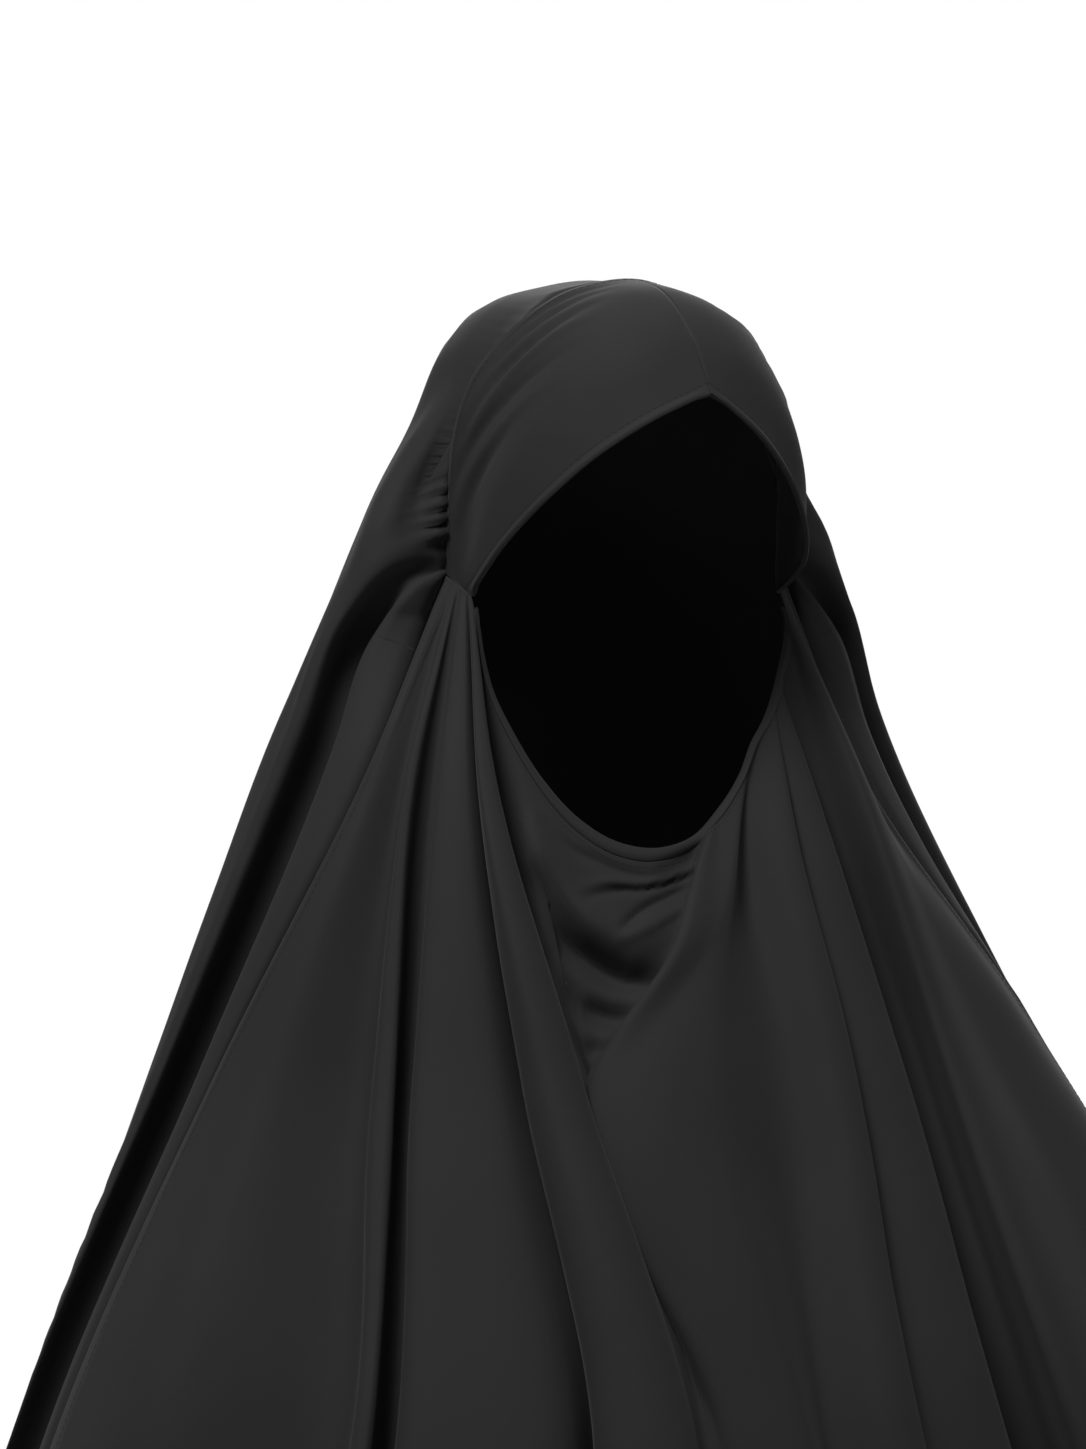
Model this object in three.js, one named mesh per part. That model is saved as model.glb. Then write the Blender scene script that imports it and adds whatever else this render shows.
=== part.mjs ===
// A khimar veil of black crepe in the form that it takes when worn: a forehead band in two halves,
// a hood and back panel gathered onto it at the temples, a front panel that falls from the temples
// under the face opening, and a narrow binding along the chin.
// Millimetres, +Z up. The origin is the crown of the head, the wearer faces -Y and +X is the
// wearer's left.
import * as THREE from "three";

// Sizes of the head that the veil is cut for
const HEAD_HALF_WIDTH = 74;
const HEAD_HALF_DEPTH = 90;
const HEAD_HEIGHT = 244;
const HEAD_SQUARENESS = 2.15;

// Sizes of the veil, from the crown down and from the crown's vertical out
const VEIL_LENGTH = 970;
const HEM_HALF_WIDTH = 385;
const HEM_FRONT = 250;
const HEM_BACK = 230;

// Cloth walls, the binding, and the clearances between sewn pieces and to the head
const CLOTH_WALL = 1.5;
const BAND_WALL = 2.2;
const BINDING_WIDTH = 6.5;
const BINDING_WALL = 2.2;
const SEAM_GAP = 0.3;
const BAND_EASE = 2.5;

// Heights are levels: 0 at the crown, 1 at the chin and 2 at the hem
const CHEST = 1.14;
const BREAST = 1.33;
const LAP = 1.66;
const HEM = 2;

// The body of the veil without its folds, an ellipse at each level.
// width: share of the way from the head's half width to the hem's.
// front, back: share of the way from the head's half depth to the hem's reach.
// centre, across: middle of the ellipse behind and beside the crown, in half depths and widths.
const BODY = table("level width front back centre across", [
  [0.00, -0.07, -0.40, -0.06, 0.33, 0.00],
  [0.08, -0.008, -0.30, 0.03, 0.38, 0.00],
  [0.20, 0.007, -0.25, 0.12, 0.38, -0.025],
  [0.33, 0.072, -0.20, 0.16, 0.42, -0.065],
  [0.50, 0.125, -0.19, 0.19, 0.47, -0.08],
  [0.78, 0.205, -0.22, 0.23, 0.50, -0.08],
  [1.00, 0.243, -0.20, 0.27, 0.45, -0.24],
  [1.14, 0.428, 0.14, 0.357, 0.30, -0.01],
  [1.23, 0.533, 0.375, 0.42, 0.10, 0.04],
  [1.33, 0.648, 0.54, 0.486, -0.10, 0.09],
  [1.60, 0.86, 0.80, 0.70, -0.20, 0.10],
  [2.00, 1.00, 1.00, 1.00, -0.25, 0.10],
]);

// Seam between band and hood, from the wearer's right temple over the crown to the left.
// All edges are in half widths across, half depths forward and head heights down.
const ARCH = table("across forward down", [
  [-1.11, -0.24, 0.537],
  [-1.11, -0.21, 0.45],
  [-1.105, -0.20, 0.36],
  [-1.09, -0.18, 0.29],
  [-1.06, -0.15, 0.235],
  [-1.00, -0.12, 0.18],
  [-0.90, -0.08, 0.13],
  [-0.77, -0.03, 0.085],
  [-0.60, 0.01, 0.042],
  [-0.45, 0.04, 0.016],
  [-0.30, 0.07, 0.002],
  [0.00, 0.09, -0.006],
  [0.26, 0.07, 0.018],
  [0.41, 0.04, 0.036],
  [0.56, 0.01, 0.062],
  [0.73, -0.03, 0.098],
  [0.86, -0.08, 0.133],
  [0.965, -0.12, 0.182],
  [1.035, -0.15, 0.235],
  [1.075, -0.18, 0.29],
  [1.10, -0.20, 0.36],
  [1.11, -0.21, 0.45],
  [1.11, -0.24, 0.537],
]);

// Edge of the band over the face, from each temple to the point over the forehead
const FACE_EDGE_RIGHT = table("across forward down", [
  [-1.01, -0.07, 0.578],
  [-0.98, 0.31, 0.485],
  [-0.80, 0.62, 0.388],
  [-0.56, 0.79, 0.312],
  [-0.28, 0.88, 0.255],
  [0.087, 0.87, 0.205],
]);
const FACE_EDGE_LEFT = table("across forward down", [
  [1.02, -0.07, 0.578],
  [0.94, 0.415, 0.50],
  [0.685, 0.734, 0.378],
  [0.374, 0.863, 0.275],
  [0.087, 0.87, 0.205],
]);

// Lower edge of the face opening, from the wearer's right temple under the chin to the left
const CHIN_EDGE = table("across forward down", [
  [-1.11, -0.24, 0.537],
  [-1.01, -0.07, 0.578],
  [-1.005, 0.03, 0.655],
  [-0.965, 0.13, 0.748],
  [-0.88, 0.22, 0.818],
  [-0.735, 0.33, 0.903],
  [-0.555, 0.43, 0.971],
  [-0.34, 0.51, 1.014],
  [-0.11, 0.555, 1.027],
  [0.12, 0.545, 1.012],
  [0.34, 0.49, 0.96],
  [0.525, 0.40, 0.902],
  [0.645, 0.32, 0.846],
  [0.755, 0.255, 0.808],
  [0.915, 0.13, 0.725],
  [1.02, 0.02, 0.635],
  [1.02, -0.07, 0.578],
  [1.11, -0.24, 0.537],
]);
// The share of the chin edge at each end that is sewn to the band, where the gathers fall from
const GATHERED = 0.055;
// The share over which the panel gives way to the binding beside the gathers
const BINDING_RISE = 0.015;
// How soon the band leaves its sewn temple end for the head's surface
const TEMPLE_HOLD = 5;

// Folds of the front panel, each a line of cloth from the panel's top edge to the hem.
// along: its start on the chin edge, 0 at the wearer's right temple and 1 at the left.
// turn and out: degrees round the body from the front towards the wearer's left, and share of
// the body's ellipse, at three heights: the neck (n), the chest (c) and the breast (b).
const FRONT_FOLDS = table("along nTurn nOut cTurn cOut bTurn bOut", [
  [0.000, -56, 1.00, -74, 1.00, -87, 1.00],
  [0.006, -53, 1.02, -62, 1.03, -66, 1.03],
  [0.014, -49, 0.965, -48, 0.93, -44.5, 0.925],
  [0.020, -46.5, 1.01, -44.5, 1.00, -41, 1.00],
  [0.025, -45.5, 1.00, -42, 1.00, -40, 1.00],
  [0.027, -47, 0.93, -44, 0.92, -42, 0.92],
  [0.030, -45, 0.89, -43.5, 0.88, -41.5, 0.87],
  [0.033, -41.5, 0.98, -39.5, 0.99, -37.5, 0.98],
  [0.037, -38.5, 1.00, -34, 1.01, -30.5, 1.01],
  [0.041, -35.5, 0.99, -28, 0.985, -21.5, 0.99],
  [0.045, -36.5, 0.85, -27.5, 0.80, -20, 0.81],
  [0.048, -34.5, 0.97, -25, 0.985, -18.5, 0.99],
  [0.052, -32.5, 1.03, -21.5, 1.05, -14.5, 1.05],
  [0.057, -30, 1.01, -17.6, 1.01, -9.6, 1.01],
  [0.065, -32.5, 0.90, -18.0, 0.92, -9.4, 0.97],
  [0.15, -32, 0.80, -18.0, 0.85, -9.0, 0.955],
  [0.27, -21, 0.87, -17.9, 0.80, -8.6, 0.95],
  [0.39, -14, 0.86, -17.7, 0.785, -8.2, 0.95],
  [0.49, -7, 0.86, -17.5, 0.80, -7.8, 0.955],
  [0.565, 1.5, 0.92, -17.4, 0.86, -7.4, 0.96],
  [0.575, -1, 1.07, -17.0, 0.94, -6.8, 0.975],
  [0.60, 6.5, 1.045, -12, 1.00, -3.5, 1.00],
  [0.66, 14.5, 1.02, -2, 1.01, 0.5, 1.00],
  [0.735, 24, 0.96, 11, 0.91, 4, 0.915],
  [0.77, 27, 1.08, 16, 1.01, 9, 1.01],
  [0.785, 29, 1.10, 18.5, 1.00, 12, 1.00],
  [0.79, 31, 1.05, 19.5, 0.96, 13, 0.96],
  [0.80, 33, 1.09, 23, 0.98, 17, 0.98],
  [0.815, 35.5, 1.11, 27, 0.98, 21.5, 0.98],
  [0.825, 41, 0.97, 34, 0.80, 28, 0.80],
  [0.87, 42, 1.05, 38, 0.87, 31.5, 0.87],
  [0.948, 41.5, 1.11, 33.5, 1.01, 27.5, 1.02],
  [0.965, 45.5, 1.07, 47, 0.985, 47, 0.975],
  [0.985, 47.5, 1.01, 62, 1.01, 66, 1.02],
  [1.000, 50, 1.00, 75, 1.00, 88, 1.00],
]);

// Folds of the hood and back panel on the wearer's right; the left mirrors them.
// along: its start on the arch, 0 at the temple and 0.5 at the crown.
// turn and out: degrees round the body from the front, and share of the body's ellipse,
// behind the seam (s), on the head (h), at the neck (n), the chest (c) and the breast (b).
const BACK_FOLDS = table("along sTurn sOut hTurn hOut nTurn nOut cTurn cOut bTurn bOut", [
  [0.004, 70, 0.84, 73, 0.93, 67, 1.01, 78, 1.00, 91, 1.00],
  [0.008, 74, 0.83, 82, 0.84, 79, 0.83, 91, 0.86, 101, 0.91],
  [0.016, 76, 0.86, 84, 0.91, 84, 0.91, 95, 0.94, 105, 0.99],
  [0.030, 74, 0.94, 80, 1.02, 80, 1.03, 90, 1.02, 102, 1.04],
  [0.07, 78, 1.00, 84, 1.03, 90, 1.05, 99, 1.04, 109, 1.04],
  [0.13, 84, 1.00, 92, 1.01, 102, 1.02, 109, 1.01, 118, 1.00],
  [0.19, 90, 1.00, 100, 1.00, 115, 1.00, 121, 0.97, 129, 0.96],
  [0.25, 98, 1.03, 110, 1.00, 128, 1.00, 134, 1.02, 141, 1.04],
  [0.32, 112, 1.05, 127, 1.00, 142, 0.99, 147, 0.96, 153, 0.94],
  [0.39, 132, 1.05, 146, 1.00, 157, 1.00, 161, 1.02, 166, 1.03],
  [0.445, 155, 1.03, 165, 1.00, 169, 0.995, 171, 0.985, 174, 0.97],
]);
const BACK_CENTRE = { along: 0.5, cOut: 1.02, bOut: 1.03 };

// Soft lines across the folds: the cowl's swags under the chin, and the fold round the hood
// behind its seam. Each runs through three places, a column counted in folds and a row counted
// in heights. depth is how far it stands out, and width how wide, in half widths of the head.
const COWL_SWAGS = table("fromColumn fromRow midColumn midRow toColumn toRow depth width", [
  [15.8, 2.80, 17.2, 2.68, 19.2, 2.72, 0.05, 0.13],
  [15.8, 3.18, 17.2, 3.10, 19.7, 3.34, -0.14, 0.09],
  [15.9, 3.44, 17.0, 3.34, 18.6, 3.32, -0.05, 0.12],
  [16.2, 3.56, 17.9, 3.48, 19.8, 3.50, -0.10, 0.08],
]);
const HOOD_FOLDS = table("fromColumn fromRow midColumn midRow toColumn toRow depth width", [
  [13.2, 0.12, 15.5, 0.25, 17.6, 0.32, 0.03, 0.08],
  [13.2, 0.26, 16.6, 0.33, 19.6, 0.66, -0.12, 0.10],
  [10.8, 0.12, 8.5, 0.25, 6.4, 0.32, 0.03, 0.08],
  [10.8, 0.26, 7.4, 0.33, 4.4, 0.66, -0.12, 0.10],
]);
const SWAG_STEPS = 24;

// Heights between a fold's start and the chest: behind the seam, on the head and at the neck
const SEAM_ROW = 0.04;
const HEAD_ROW = 0.2;
const NECK_ROW = 0.5;
// How much of a fold is left at the lap and the hem, and how far folds spread evenly there
const LAP_FOLD = 0.8;
const HEM_FOLD = 0.7;
const HEM_SPREAD = 0.4;

// Rows of cells between the folds' heights, and the widths of cells at the chest and the top edge
const BACK_ROWS = rowPlaces([2, 2, 3, 4, 4, 3, 2]);
const FRONT_ROWS = BACK_ROWS.filter((place) => place >= 2);
const CHEST_ROW = 4;
const CHEST_CELL = 20;
const TOP_CELL = 9;
const MOST_CELLS = 6;
const BAND_COLUMNS = 20;
const BAND_ROWS = 6;
// Steps between the rows of an edge's table
const EDGE_STEPS = 20;

// Rows of numbers with named columns
function table(names, rows) {
  const columns = names.split(" ");
  return rows.map((row) => Object.fromEntries(columns.map((name, i) => [name, row[i]])));
}

function mix(a, b, share) {
  return a + (b - a) * share;
}

// The cubic that leaves a with slope p and reaches b with slope q, at a share of the way
function cubic(a, p, b, q, share) {
  const t = share;
  const s = 1 - t;
  return s * s * (1 + 2 * t) * a + s * s * t * p + t * t * (3 - 2 * t) * b - t * t * s * q;
}

// A column of the body's table as a smooth function of the level
function bodyColumn(name, level) {
  const last = BODY.length - 1;
  const slope = (i) => (BODY[i + 1][name] - BODY[i][name]) / (BODY[i + 1].level - BODY[i].level);
  const tangent = (i) => {
    if (i === 0) return slope(0);
    if (i === last) return slope(last - 1);
    const before = BODY[i].level - BODY[i - 1].level;
    const after = BODY[i + 1].level - BODY[i].level;
    return (slope(i - 1) * after + slope(i) * before) / (before + after);
  };
  let i = 0;
  while (i < last - 1 && level > BODY[i + 1].level) i += 1;
  const span = BODY[i + 1].level - BODY[i].level;
  const share = THREE.MathUtils.clamp((level - BODY[i].level) / span, 0, 1);
  return cubic(BODY[i][name], span * tangent(i), BODY[i + 1][name], span * tangent(i + 1), share);
}

function heightOf(level) {
  if (level <= 1) return -level * HEAD_HEIGHT;
  return -mix(HEAD_HEIGHT, VEIL_LENGTH, level - 1);
}

function levelOf(z) {
  if (-z <= HEAD_HEIGHT) return -z / HEAD_HEIGHT;
  return 1 + (-z - HEAD_HEIGHT) / (VEIL_LENGTH - HEAD_HEIGHT);
}

// A point of the veil's body: turn in degrees from the front, out as a share of the ellipse
function bodyPoint(level, turn, out) {
  const width = mix(HEAD_HALF_WIDTH, HEM_HALF_WIDTH, bodyColumn("width", level));
  const front = mix(HEAD_HALF_DEPTH, HEM_FRONT, bodyColumn("front", level));
  const back = mix(HEAD_HALF_DEPTH, HEM_BACK, bodyColumn("back", level));
  const x = bodyColumn("across", level) * HEAD_HALF_WIDTH;
  const y = bodyColumn("centre", level) * HEAD_HALF_DEPTH;
  const angle = THREE.MathUtils.degToRad(turn);
  const forward = Math.cos(angle);
  const depth = forward > 0 ? front + y : back - y;
  return new THREE.Vector3(
    x + out * width * Math.sin(angle),
    y - out * depth * forward,
    heightOf(level),
  );
}

// A point of the head's surface, let out by the band's ease, on the way from its middle to target
function headPoint(target) {
  const middle = new THREE.Vector3(0, 0, -HEAD_HEIGHT / 2);
  const way = target.clone().sub(middle);
  const sum =
    Math.abs(way.x / (HEAD_HALF_WIDTH + BAND_EASE)) ** HEAD_SQUARENESS +
    Math.abs(way.y / (HEAD_HALF_DEPTH + BAND_EASE)) ** HEAD_SQUARENESS +
    Math.abs(way.z / (HEAD_HEIGHT / 2 + BAND_EASE)) ** HEAD_SQUARENESS;
  return middle.addScaledVector(way, sum ** (-1 / HEAD_SQUARENESS));
}

// The way out of the veil at a point, which both pieces at a seam share
function wayOut(point) {
  const y = bodyColumn("centre", NECK_ROW) * HEAD_HALF_DEPTH;
  const z = Math.min(point.z, -HEAD_HEIGHT / 2);
  return point.clone().sub(new THREE.Vector3(0, y, z)).normalize();
}

// A smooth line through points, at a place counted in points. Its tangents follow the shorter
// neighbour, so a tight fold beside a wide one doesn't overshoot.
function throughPoints(points, place) {
  const last = points.length - 1;
  const way = (i) => points[i + 1].clone().sub(points[i]);
  const tangent = (i) => {
    if (i === 0) return way(0).normalize();
    if (i === last) return way(last - 1).normalize();
    const before = way(i - 1);
    const after = way(i);
    const a = before.length();
    const b = after.length();
    return before.multiplyScalar(b / (a * (a + b))).add(after.multiplyScalar(a / (b * (a + b))));
  };
  const i = Math.min(Math.floor(place), last - 1);
  const long = way(i).length();
  const p = tangent(i);
  const q = tangent(i + 1);
  const at = (axis) =>
    cubic(points[i][axis], long * p[axis], points[i + 1][axis], long * q[axis], place - i);
  return new THREE.Vector3(at("x"), at("y"), at("z"));
}

// An edge in head shares as a function of the share of its length
function edgeCurve(rows) {
  const points = rows.map(
    (row) =>
      new THREE.Vector3(
        row.across * HEAD_HALF_WIDTH,
        -row.forward * HEAD_HALF_DEPTH,
        -row.down * HEAD_HEIGHT,
      ),
  );
  const steps = EDGE_STEPS * (points.length - 1);
  const fine = Array.from({ length: steps + 1 }, (_, i) => throughPoints(points, i / EDGE_STEPS));
  const run = [0];
  for (let i = 1; i <= steps; i += 1) run.push(run[i - 1] + fine[i].distanceTo(fine[i - 1]));
  return (share) => {
    const target = THREE.MathUtils.clamp(share, 0, 1) * run[steps];
    let i = 1;
    while (i < steps && run[i] < target) i += 1;
    return fine[i - 1].clone().lerp(fine[i], (target - run[i - 1]) / (run[i] - run[i - 1]));
  };
}

const arch = edgeCurve(ARCH);
const chinEdge = edgeCurve(CHIN_EDGE);

// The lower part of a fold, from the chest to the hem. evenTurn is where the fold would be at
// the hem if all folds lay evenly.
function lowerFold(fold, evenTurn) {
  const hemTurn = mix(fold.bTurn, evenTurn, HEM_SPREAD);
  return [
    bodyPoint(CHEST, fold.cTurn, fold.cOut),
    bodyPoint(BREAST, fold.bTurn, fold.bOut),
    bodyPoint(LAP, mix(fold.bTurn, hemTurn, 0.5), mix(1, fold.bOut, LAP_FOLD)),
    bodyPoint(HEM, hemTurn, mix(1, fold.bOut, HEM_FOLD)),
  ];
}

// The upper part of a fold that falls straight from its start to the neck
function straightUpperFold(start, fold) {
  const neck = bodyPoint(mix(levelOf(start.z), CHEST, NECK_ROW), fold.nTurn, fold.nOut);
  return [
    start,
    start.clone().lerp(neck, SEAM_ROW / NECK_ROW),
    start.clone().lerp(neck, HEAD_ROW / NECK_ROW),
    neck,
  ];
}

// The upper part of a fold of the hood, which goes over the head first
function hoodUpperFold(start, fold) {
  const level = levelOf(start.z);
  return [
    start,
    bodyPoint(mix(level, CHEST, SEAM_ROW), fold.sTurn, fold.sOut),
    bodyPoint(mix(level, CHEST, HEAD_ROW), fold.hTurn, fold.hOut),
    bodyPoint(mix(level, CHEST, NECK_ROW), fold.nTurn, fold.nOut),
  ];
}

function evenTurns(folds) {
  const first = folds[0].bTurn;
  const last = folds[folds.length - 1].bTurn;
  return folds.map((_, i) => mix(first, last, i / (folds.length - 1)));
}

function frontFolds() {
  const even = evenTurns(FRONT_FOLDS);
  return FRONT_FOLDS.map((fold, i) => ({
    along: fold.along,
    points: [...straightUpperFold(chinEdge(fold.along), fold), ...lowerFold(fold, even[i])],
  }));
}

// The back panel's folds from the wearer's left side seam round the back to the right one
function backFolds() {
  const round = (fold, side) => {
    const turned = { ...fold };
    for (const name of ["sTurn", "hTurn", "nTurn", "cTurn", "bTurn"]) {
      turned[name] = side > 0 ? fold[name] : 360 - fold[name];
    }
    turned.along = side > 0 ? 1 - fold.along : fold.along;
    return turned;
  };
  const leftSeam = { ...FRONT_FOLDS[FRONT_FOLDS.length - 1], along: 1 };
  const rightSeam = { ...FRONT_FOLDS[0], along: 0 };
  for (const name of ["nTurn", "cTurn", "bTurn"]) rightSeam[name] += 360;
  const centre = { ...BACK_CENTRE, sOut: 1, hOut: 1, nOut: 1 };
  for (const name of ["sTurn", "hTurn", "nTurn", "cTurn", "bTurn"]) centre[name] = 180;
  const inner = [
    ...BACK_FOLDS.map((fold) => round(fold, 1)),
    centre,
    ...BACK_FOLDS.map((fold) => round(fold, -1)).reverse(),
  ];
  const folds = [leftSeam, ...inner, rightSeam];
  const even = evenTurns(folds);
  return folds.map((fold, i) => {
    const start = arch(fold.along);
    const isSeam = i === 0 || i === folds.length - 1;
    const upper = isSeam ? straightUpperFold(start, fold) : hoodUpperFold(start, fold);
    return { along: fold.along, points: [...upper, ...lowerFold(fold, even[i])] };
  });
}

// The places of the rows, counted in heights
function rowPlaces(counts) {
  const places = [];
  counts.forEach((count, i) => {
    for (let j = 0; j < count; j += 1) places.push(i + j / count);
  });
  return [...places, counts.length];
}

// The places of the columns, counted in folds, with more of them where folds lie far apart
function columnPlaces(folds) {
  const places = [];
  for (let i = 0; i < folds.length - 1; i += 1) {
    const apart = (row) => folds[i].points[row].distanceTo(folds[i + 1].points[row]);
    const cells = Math.max(apart(0) / TOP_CELL, apart(CHEST_ROW) / CHEST_CELL);
    const count = THREE.MathUtils.clamp(Math.ceil(cells), 1, MOST_CELLS);
    for (let j = 0; j < count; j += 1) places.push(i + j / count);
  }
  return [...places, folds.length - 1];
}

// Where a column starts along its panel's top edge
function alongAt(folds, column) {
  const i = Math.min(Math.floor(column), folds.length - 2);
  return mix(folds[i].along, folds[i + 1].along, column - i);
}

// A panel's outer face as a function of the column and the row, with its first row on topEdge
function panelFace(folds, topEdge) {
  const top = folds.map((fold) => fold.points[0]);
  return (column, row) => {
    const line = folds.map((fold) => throughPoints(fold.points, row));
    const pull = topEdge(alongAt(folds, column)).sub(throughPoints(top, column));
    return throughPoints(line, column).addScaledVector(pull, Math.max(1 - row, 0) ** 2);
  };
}

// The row of the front panel's first cells, under the binding between the gathers
function underBinding(face, along, column) {
  const inside = Math.min(along, 1 - along) - GATHERED;
  const width = BINDING_WIDTH * THREE.MathUtils.smoothstep(inside, 0, BINDING_RISE);
  const first = face(column, 0).distanceTo(face(column, 1));
  if (width < first) return width / first;
  return 1 + (width - first) / face(column, 1).distanceTo(face(column, 2));
}

// Moves a grid's border towards the row or column inside it
function drawBack(grid, side, distance) {
  const lastColumn = grid.length - 1;
  const lastRow = grid[0].length - 1;
  const move = (point, inner) => {
    point.addScaledVector(inner.clone().sub(point).normalize(), distance);
  };
  const moveColumn = (i, inner) => grid[i].forEach((point, j) => move(point, grid[inner][j]));
  if (side === "first column") moveColumn(0, 1);
  if (side === "last column") moveColumn(lastColumn, lastColumn - 1);
  if (side === "top") grid.forEach((column) => move(column[0], column[1]));
  if (side === "bottom") grid.forEach((column) => move(column[lastRow], column[lastRow - 1]));
}

// The way out of a grid's face at one of its points
function faceOut(grid, i, j) {
  const before = grid[Math.max(i - 1, 0)][j];
  const after = grid[Math.min(i + 1, grid.length - 1)][j];
  const above = grid[i][Math.max(j - 1, 0)];
  const below = grid[i][Math.min(j + 1, grid[0].length - 1)];
  return below.clone().sub(above).cross(after.clone().sub(before)).normalize();
}

// Presses soft lines into a face, each strongest along its middle and gone at its ends
function pressSwags(grid, columns, face, swags) {
  const moves = grid.map((line) => line.map(() => 0));
  for (const swag of swags) {
    const ends = ["from", "mid", "to"].map(
      (end) => new THREE.Vector3(swag[`${end}Column`], swag[`${end}Row`], 0),
    );
    const steps = Array.from({ length: SWAG_STEPS + 1 }, (_, i) => i / SWAG_STEPS);
    const line = steps.map((step) => {
      const place = throughPoints(ends, 2 * step);
      return { point: face(place.x, place.y), strength: Math.sqrt(Math.sin(Math.PI * step)) };
    });
    const low = Math.min(swag.fromColumn, swag.toColumn) - 1;
    const high = Math.max(swag.fromColumn, swag.toColumn) + 1;
    for (let i = 1; i < grid.length - 1; i += 1) {
      if (columns[i] < low || columns[i] > high) continue;
      for (let j = 1; j < grid[i].length; j += 1) {
        const far = ({ point }) => point.distanceTo(grid[i][j]);
        const nearest = line.reduce((best, next) => (far(next) < far(best) ? next : best));
        const share = far(nearest) / (swag.width * HEAD_HALF_WIDTH);
        moves[i][j] += swag.depth * HEAD_HALF_WIDTH * nearest.strength * Math.exp(-share * share);
      }
    }
  }
  const outs = grid.map((line, i) => line.map((_, j) => faceOut(grid, i, j)));
  grid.forEach((line, i) => line.forEach((p, j) => p.addScaledVector(outs[i][j], moves[i][j])));
}

// The inner face of a cloth wall. Borders sewn to a neighbour share their way in with it, and so
// does the whole of a narrow piece.
function innerGrid(grid, wall, sewn) {
  const lastColumn = grid.length - 1;
  const lastRow = grid[0].length - 1;
  return grid.map((column, i) =>
    column.map((point, j) => {
      const isSewn =
        sewn.includes("whole") ||
        (sewn.includes("first column") && i === 0) ||
        (sewn.includes("last column") && i === lastColumn) ||
        (sewn.includes("top") && j === 0) ||
        (sewn.includes("bottom") && j === lastRow);
      const out = isSewn ? wayOut(point) : faceOut(grid, i, j);
      return point.clone().addScaledVector(out, -wall);
    }),
  );
}

// One closed body between an outer and an inner grid of the same size
function wallGeometry(outer, inner) {
  const across = outer.length;
  const down = outer[0].length;
  const points = [...outer.flat(), ...inner.flat()];
  const positions = points.flatMap((point) => point.toArray());
  const out = (i, j) => i * down + j;
  const into = (i, j) => (across + i) * down + j;
  const indices = [];
  const quad = (a, b, c, d) => indices.push(a, b, c, a, c, d);
  for (let i = 0; i < across - 1; i += 1) {
    for (let j = 0; j < down - 1; j += 1) {
      quad(out(i, j), out(i, j + 1), out(i + 1, j + 1), out(i + 1, j));
      quad(into(i, j), into(i + 1, j), into(i + 1, j + 1), into(i, j + 1));
    }
    quad(out(i, 0), out(i + 1, 0), into(i + 1, 0), into(i, 0));
    quad(out(i, down - 1), into(i, down - 1), into(i + 1, down - 1), out(i + 1, down - 1));
  }
  for (let j = 0; j < down - 1; j += 1) {
    quad(out(0, j), into(0, j), into(0, j + 1), out(0, j + 1));
    const last = across - 1;
    quad(out(last, j), out(last, j + 1), into(last, j + 1), into(last, j));
  }
  const geometry = new THREE.BufferGeometry();
  geometry.setAttribute("position", new THREE.Float32BufferAttribute(positions, 3));
  geometry.setIndex(indices);
  geometry.computeVertexNormals();
  return geometry;
}

// A sewn piece: its outer face drawn back at each sewn border, and its wall
function sewnPiece(name, grid, wall, sewn, material) {
  for (const side of sewn) drawBack(grid, side, SEAM_GAP / 2);
  const mesh = new THREE.Mesh(wallGeometry(grid, innerGrid(grid, wall, sewn)), material);
  mesh.name = name;
  return mesh;
}

function frontPanel(folds, face, material) {
  const columns = columnPlaces(folds);
  const grid = columns.map((column) => {
    const first = underBinding(face, alongAt(folds, column), column);
    return [first, ...FRONT_ROWS].map((row) => face(column, row));
  });
  pressSwags(grid, columns, face, COWL_SWAGS);
  return sewnPiece("front_panel", grid, CLOTH_WALL, ["first column", "last column", "top"], material);
}

function backPanel(material) {
  const folds = backFolds();
  const face = panelFace(folds, arch);
  const columns = columnPlaces(folds);
  const grid = columns.map((column) => BACK_ROWS.map((row) => face(column, row)));
  pressSwags(grid, columns, face, HOOD_FOLDS);
  return sewnPiece("back_panel", grid, CLOTH_WALL, ["first column", "last column", "top"], material);
}

// Half of the forehead band, from the temple to the centre seam, on the head's surface. Its
// temple end is sewn to the gathered end of the front panel.
function bandHalf(name, faceEdge, temple, material) {
  const face = edgeCurve(faceEdge);
  const columns = Array.from({ length: BAND_COLUMNS + 1 }, (_, i) => i / BAND_COLUMNS);
  if (temple === 1) columns.reverse();
  const grid = columns.map((column) => {
    const seam = arch(mix(temple, 0.5, column));
    const edge = face(column);
    const hold = Math.max(1 - TEMPLE_HOLD * column, 0);
    const sewn = (share) => chinEdge(mix(temple, 1 - temple, share * GATHERED));
    const held = (point, share) => point.lerp(sewn(share), hold);
    const onHead = (share) => held(headPoint(seam.clone().lerp(edge, share)), share);
    const line = [seam, onHead(1 / 3), onHead(2 / 3), held(edge, 1)];
    return Array.from({ length: BAND_ROWS + 1 }, (_, j) => throughPoints(line, (3 * j) / BAND_ROWS));
  });
  return sewnPiece(name, grid, BAND_WALL, ["first column", "last column", "top"], material);
}

// The turned binding between the chin edge and the front panel
function chinBinding(folds, face, material) {
  const isBound = (column) => {
    const along = alongAt(folds, column);
    return Math.min(along, 1 - along) >= GATHERED + BINDING_RISE;
  };
  const grid = columnPlaces(folds).filter(isBound).map((column) => {
    const top = face(column, 0);
    const bottom = face(column, underBinding(face, alongAt(folds, column), column));
    const middle = top.clone().lerp(bottom, 0.5).addScaledVector(wayOut(top), BINDING_WALL / 4);
    return [top, middle, bottom];
  });
  return sewnPiece("chin_binding", grid, BINDING_WALL, ["bottom", "whole"], material);
}

const crepe = new THREE.MeshStandardMaterial({ color: 0x1c1c1d, roughness: 0.78, metalness: 0 });

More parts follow.
